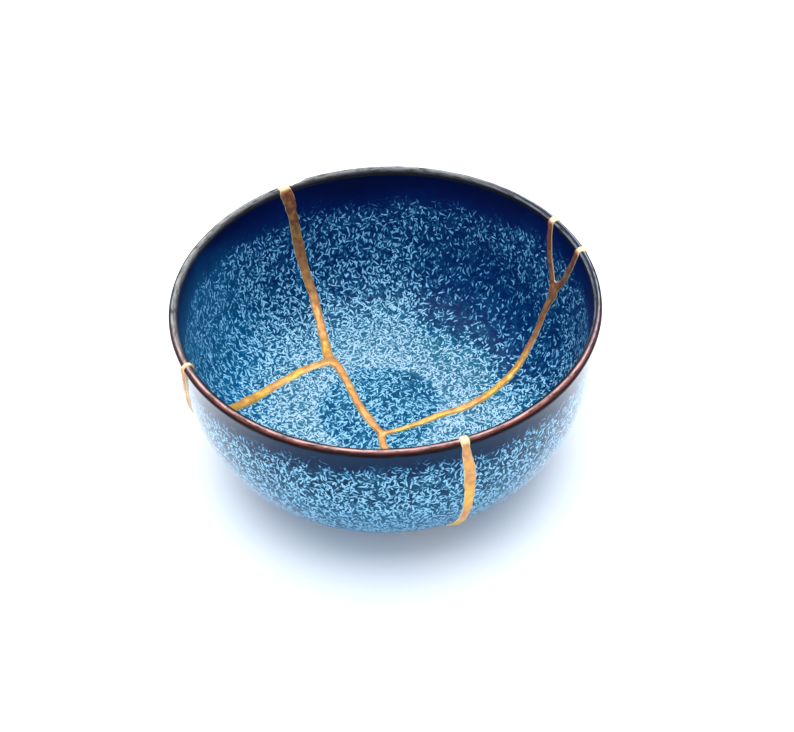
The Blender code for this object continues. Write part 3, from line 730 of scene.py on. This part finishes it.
def chip_cutter(wall):
    """Air where the lip's outer edge chipped off beside the seam at the left back: deepest next to the seam, it
    runs out along the rim, and its face is rough."""
    azimuth, slope, length, depth, breadth = math.radians(118.2), math.radians(49), 6.4 * MM, 1.5 * MM, 4.8 * MM
    bare_scene_selection()
    bpy.ops.mesh.primitive_ico_sphere_add(subdivisions=5, radius=1.0)
    chip = bpy.context.object
    chip.name = "chip"
    turn = Euler((0.0, -slope, azimuth)).to_matrix()
    shoulder = wall.lip_radius + 0.5 * depth
    flat = Vector((wall.rim_radius - wall.lip_radius + shoulder * math.cos(slope),
                   wall.bowl.height - wall.lip_radius + shoulder * math.sin(slope)))
    centre = in_space(azimuth, flat)
    laid = []
    for vert in chip.data.vertices:
        rough = 1 + 0.12 * noise.noise(vert.co * 2.2) + 0.05 * noise.noise(vert.co * 6)
        along = vert.co.y * length * (1.0 if vert.co.y < 0 else 0.3)
        flake = Vector((vert.co.x * 1.5 * depth, along, vert.co.z * 0.5 * breadth))
        laid.append(centre + turn @ (rough * flake))
    set_coordinates(chip.data, laid)
    return chip


class KINTSUGI_OT_shards(bpy.types.Operator):
    """Model the bowl, chip its lip, break it along its cracks and glaze the five shards"""

    bl_idname = "kintsugi.shards"
    bl_label = "Glazed shards"

    def execute(self, context):
        bowl, seam = context.scene.kintsugi_bowl, context.scene.kintsugi_seam
        wall = Wall(bowl)
        clay = bare_stoneware(bowl)
        glazes = [rutile_glaze(bowl, False), rutile_glaze(bowl, True)]
        whole = turned_bowl(wall)
        whole.data.materials.append(glazes[0])
        cutters = [chip_cutter(wall)]
        # The sheets reach a little further one by one, so that no two of their edges fall together.
        for index, (name, stations) in enumerate(crack_lines(wall, seam.width, 1.5 * MM, True).items()):
            reach = (12 + 0.4 * index) * MM
            cutters.append(sheet(
                "crack_" + name, stations, wall, seam.crack,
                lambda inner, normal: inner + normal * reach / 2, lambda outer, normal: outer - normal * reach))
        for cutter in cutters:
            cutter.data.materials.append(clay)
        cut(whole, cutters)
        select_only(whole)
        bpy.ops.mesh.separate(type="LOOSE")
        shards = list(context.selected_objects)
        if len(shards) != len(SHARDS):
            raise RuntimeError(f"the cracks leave {len(shards)} bodies, not {len(SHARDS)}")
        for shard in shards:
            self.finish(shard, wall, clay, glazes[1])
        return {"FINISHED"}

    def finish(self, shard, wall, clay, satin):
        """Names a shard by its stretch of rim, bares its foot and stores where its glaze lies."""
        points = coordinates(shard.data)
        rim = points[points[:, 2] > wall.bowl.height - wall.bowl.lip_thickness]
        middle = math.degrees(math.atan2(rim[:, 1].mean(), rim[:, 0].mean()))
        node = min(SHARDS, key=lambda name: abs((SHARDS[name][0] - middle + 180) % 360 - 180))
        shard.name = "glazed_" + node
        run, _ = along_section(wall, points)
        store(shard, "run", run)
        clay_slot = [slot.material for slot in shard.material_slots].index(clay)
        shard.data.materials.append(satin)
        for face in shard.data.polygons:
            if face.center.z < BARE_FOOT and face.center.xy.length < wall.foot_radius + 0.2 * MM:
                face.material_index = clay_slot
            elif face.material_index != clay_slot and run[list(face.vertices)].mean() > 0.0:
                face.material_index = len(shard.data.materials) - 1
        select_only(shard)
        bpy.ops.object.shade_smooth_by_angle(angle=math.radians(38))
        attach(shard, "root")
        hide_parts(node)


def bead_stations(wall, ways):
    """The lines of lacquer as stations of point, outward direction, width and height share."""
    def inside(stations):
        laid = []
        for azimuth, share, width in stations:
            inner, _, normal = wall.at(share)
            laid.append((in_space(azimuth, inner), in_space(azimuth, normal), width, 1.0))
        return laid

    def outside(stations):
        laid = []
        for azimuth, share, width in stations:
            _, outer, normal = wall.at(share)
            if outer.x > wall.foot_radius + 1 * MM:
                laid.append((in_space(azimuth, outer), in_space(azimuth, -normal), 0.85 * width, 1.0))
        return laid

    def over_lip(end):
        azimuth, _, width = end
        centre = Vector((wall.rim_radius - wall.lip_radius, wall.bowl.height - wall.lip_radius))
        laid = []
        for step in range(11, 0, -1):
            turn = math.pi * step / 12
            out = Vector((math.cos(turn), math.sin(turn)))
            point = centre + out * wall.lip_radius
            laid.append((in_space(azimuth, point), in_space(azimuth, out), 0.95 * width, 0.6))
        return laid

    def up_and_over(stations):
        return inside(stations) + over_lip(stations[-1]) + outside(stations[::-1])

    def underneath(stations):
        laid = []
        for azimuth, share, width in stations:
            inner, _, _ = wall.at(share)
            if inner.x < wall.foot_radius - wall.bowl.foot_width - 1.6 * MM:
                point = Vector((inner.x, wall.bowl.recess_depth))
                laid.append((in_space(azimuth, point), Vector((0, 0, -1)), 0.75 * width, 0.5))
        return laid

    right = inside(ways["right"]) + up_and_over(ways["right_back"]) + outside(ways["right"][::-1])
    return {
        "rim_to_rim": up_and_over(ways["left_back"])[::-1] + inside(ways["floor"]) + up_and_over(ways["front"]),
        "left": up_and_over(ways["left"]),
        "right": right,
        "right_front": up_and_over(ways["right_front"]),
        "under_floor": underneath(ways["left_back"][::-1] + ways["floor"][1:] + ways["front"][1:]),
        "under_right": underneath(ways["right"]),
    }


def bead(name, stations, seam, seed):
    """A raised line of lacquer laid by hand: domed, its edges wavy and its height uneven."""
    stations = [
        station for index, station in enumerate(stations)
        if index == 0 or (station[0] - stations[index - 1][0]).length > 1e-5
    ]
    points = [station[0] for station in stations]
    gone = [0.0]
    for before, after in zip(points, points[1:]):
        gone.append(gone[-1] + (after - before).length)
    frames = []
    for index, (point, out, width, height) in enumerate(stations):
        along = points[min(index + 1, len(points) - 1)] - points[max(index - 1, 0)]
        across = out.cross(along).normalized()
        place = gone[index] / MM
        edges = [
            0.58 * width * (
                1 + 0.18 * noise.noise((place / 7, seed, side)) + 0.13 * noise.noise((place / 2.2, seed, side)))
            for side in (3.0, 9.0)
        ]
        rise = height * seam.height * (1 + 0.25 * noise.noise((place / 5, seed, 5.0)))
        frames.append((point, out, across, edges, rise, place))
    rows = 13

    def lay(column, row):
        point, out, across, edges, rise, place = frames[column]
        side = 2 * row / (rows - 1) - 1
        crown = (1 - abs(side) ** 3.6) ** 0.6 * (1 + 0.22 * noise.noise((place / 3, 1.6 * side, seed)))
        reach = edges[0] if side < 0 else edges[1]
        return point + across * side * reach + out * ((rise + seam.depth) * crown - seam.depth)

    line = laid_grid("bead_" + name, len(frames), rows, lay)
    apply_modifier(line, "SOLIDIFY", thickness=0.8 * MM, offset=-1.0)
    return line


def blob(name, wall, azimuth, share, radii):
    """A drop of lacquer at a fork, longer down the wall than across it."""
    inner, _, normal = wall.at(share)
    out = in_space(math.radians(azimuth), normal)
    bare_scene_selection()
    bpy.ops.mesh.primitive_uv_sphere_add(segments=24, ring_count=12, radius=1.0)
    drop = bpy.context.object
    drop.name = "drop_" + name
    across = Vector((-math.sin(math.radians(azimuth)), math.cos(math.radians(azimuth)), 0.0))
    down = out.cross(across)
    centre = in_space(math.radians(azimuth), inner)
    set_coordinates(drop.data, [
        centre + across * vert.co.x * radii[0] + down * vert.co.y * radii[1] + out * vert.co.z * radii[2]
        for vert in drop.data.vertices
    ])
    return drop


class KINTSUGI_OT_gold_seam(bpy.types.Operator):
    """Lay the gold lacquer along the cracks, over the lip and down the outside, as one connected piece"""

    bl_idname = "kintsugi.gold_seam"
    bl_label = "Gold seam"

    def execute(self, context):
        bowl, seam = context.scene.kintsugi_bowl, context.scene.kintsugi_seam
        wall = Wall(bowl)
        lines = bead_stations(wall, routes(wall, seam.width, 0.6 * MM))
        parts = [
            bead(name, stations, seam, 1.7 * (index + 1))
            for index, (name, stations) in enumerate(lines.items())
        ]

        # The web in a crack ends this far inside the shards' faces, and twice as far over the table.
        inset = 0.2 * MM

        def web_top(inner, normal):
            return inner - normal * inset

        def web_bottom(outer, normal):
            if outer.x < wall.foot_radius - inset:
                ring = outer.x > wall.foot_radius - bowl.foot_width - inset
                return Vector((outer.x, 2 * inset if ring else bowl.recess_depth + inset))
            return outer + normal * inset

        for name, stations in crack_lines(wall, seam.width, 0.8 * MM, False).items():
            parts.append(sheet("web_" + name, stations, wall, seam.web, web_top, web_bottom))
        parts.append(blob("left", wall, 132.0, 0.292, (2.5 * MM, 3.2 * MM, 0.9 * MM)))
        parts.append(blob("right", wall, 382.6, 0.765, (2.7 * MM, 4.8 * MM, 1.1 * MM)))
        parts.append(blob("front", wall, 257.5, 0.137, (1.7 * MM, 1.9 * MM, 0.8 * MM)))
        gold = join(parts, "gold_lacquer_seam")
        apply_modifier(gold, "REMESH", mode="VOXEL", voxel_size=seam.grain, adaptivity=0.0)
        apply_modifier(gold, "SMOOTH", factor=0.5, iterations=4)
        points = coordinates(gold.data)
        for index, vert in enumerate(gold.data.vertices):
            stray = 0.1 * MM * noise.noise(vert.co * 420) + 0.05 * MM * noise.noise(vert.co * 1300)
            points[index] += np.array(vert.normal) * stray
        set_coordinates(gold.data, points)
        apply_modifier(gold, "DECIMATE", decimate_type="COLLAPSE", ratio=0.5)
        points = coordinates(gold.data)
        run, lift = along_section(wall, points)
        store(gold, "lift", lift)
        store(gold, "worn_and_dark_reflection", self.wear_and_dark_reflection(points, run))
        gold.data.materials.clear()
        gold.data.materials.append(gold_lacquer(seam))
        select_only(gold)
        bpy.ops.object.shade_smooth()
        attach(gold, "root")
        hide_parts("gold_seam")
        return {"FINISHED"}

    def wear_and_dark_reflection(self, points, run):
        """How much brown lacquer shows through, partly as wear and partly as a painted dark reflection of the
        inner
        wall: most high on the inside of the back and right walls.
        """
        inside = run > 1.5 * MM
        high = np.clip(1 - (run - 12 * MM) / (45 * MM), 0, 1) * inside
        right = np.clip((points[:, 0] - 35 * MM) / (20 * MM), 0, 1) * inside * 0.6
        return np.clip(np.maximum(high * (points[:, 1] > 0), right) * 0.8, 0, 1)


class KINTSUGI_OT_stage(bpy.types.Operator):
    """Set up the pale floor, the soft light and the camera"""

    bl_idname = "kintsugi.stage"
    bl_label = "Stage"

    def execute(self, context):
        stage = context.scene.kintsugi_stage
        bare_scene_selection()
        bpy.ops.mesh.primitive_plane_add(size=6.0)
        floor = context.object
        floor.name = "studio_floor"
        material, tree, shader = new_material("matt_white_paper")
        place = add_node(tree, "TexCoord").outputs["Object"]
        tooth = add_node(tree, "TexNoise", {"Vector": place, "Scale": 1000 / 1.5, "Detail": 2.0})
        bump = add_node(tree, "Bump", {"Strength": 0.05, "Distance": 0.1 * MM, "Height": tooth})
        tree.links.new(bump.outputs["Normal"], shader.inputs["Normal"])
        shader.inputs["Base Color"].default_value = stage.floor_colour
        shader.inputs["Roughness"].default_value = 0.9
        shader.inputs["Specular IOR Level"].default_value = 0.1
        floor.data.materials.append(material)

        world = bpy.data.worlds.new("studio_fill")
        world.use_nodes = True
        sky = world.node_tree.nodes["Background"]
        sky.inputs["Color"].default_value = stage.fill_colour
        sky.inputs["Strength"].default_value = stage.fill_strength
        context.scene.world = world

        self.soft_light("key_light", (0.0, 0.12, 1.05), 1.2, stage.key_power, linear("#ffffff"))

        camera = bpy.data.cameras.new("camera")
        camera.sensor_fit, camera.sensor_width, camera.lens = "HORIZONTAL", 36.0, stage.focal_length
        camera.clip_start = 0.01
        view = bpy.data.objects.new("camera", camera)
        context.scene.collection.objects.link(view)
        eye, aim = Vector((0.0, -0.26414, 0.29662)), Vector((0.0031087, 0.0, 0.0314699))
        back = (eye - aim).normalized()
        right = Vector((0, 0, 1)).cross(back).normalized()
        up = back.cross(right)
        roll = math.radians(1.8988)
        right, up = right * math.cos(roll) - up * math.sin(roll), right * math.sin(roll) + up * math.cos(roll)
        view.matrix_world = Matrix.Translation(eye) @ Matrix((right, up, back)).transposed().to_4x4()
        context.scene.camera = view
        context.scene.view_settings.view_transform = "Standard"
        return {"FINISHED"}

    def soft_light(self, name, place, size, power, colour):
        light = bpy.data.lights.new(name, "AREA")
        light.shape, light.size, light.energy, light.color = "SQUARE", size, power, colour[:3]
        obj = bpy.data.objects.new(name, light)
        bpy.context.scene.collection.objects.link(obj)
        obj.location = place
        obj.rotation_euler = (-Vector(place)).to_track_quat("-Z", "Y").to_euler()


class KINTSUGI_PT_panel(bpy.types.Panel):
    """Lists the bowl's pieces and the stage"""

    bl_idname = "KINTSUGI_PT_panel"
    bl_label = "Kintsugi bowl"
    bl_space_type = "VIEW_3D"
    bl_region_type = "UI"
    bl_category = "Kintsugi"

    def draw(self, context):
        for label, group, operator in (
            ("Bowl", context.scene.kintsugi_bowl, KINTSUGI_OT_shards),
            ("Seam", context.scene.kintsugi_seam, KINTSUGI_OT_gold_seam),
            ("Stage", context.scene.kintsugi_stage, KINTSUGI_OT_stage),
        ):
            box = self.layout.box()
            box.label(text=label)
            for name in group.__annotations__:
                box.prop(group, name)
            box.operator(operator.bl_idname)


CLASSES = (
    BowlSettings, SeamSettings, StageSettings,
    KINTSUGI_OT_shards, KINTSUGI_OT_gold_seam, KINTSUGI_OT_stage, KINTSUGI_PT_panel,
)


def register():
    for item in CLASSES:
        bpy.utils.register_class(item)
    bpy.types.Scene.kintsugi_bowl = bpy.props.PointerProperty(type=BowlSettings)
    bpy.types.Scene.kintsugi_seam = bpy.props.PointerProperty(type=SeamSettings)
    bpy.types.Scene.kintsugi_stage = bpy.props.PointerProperty(type=StageSettings)


def unregister():
    del bpy.types.Scene.kintsugi_bowl, bpy.types.Scene.kintsugi_seam, bpy.types.Scene.kintsugi_stage
    for item in reversed(CLASSES):
        bpy.utils.unregister_class(item)


def main():
    register()
    bpy.ops.kintsugi.shards()
    bpy.ops.kintsugi.gold_seam()
    bpy.ops.kintsugi.stage()


if __name__ == "__main__":
    main()
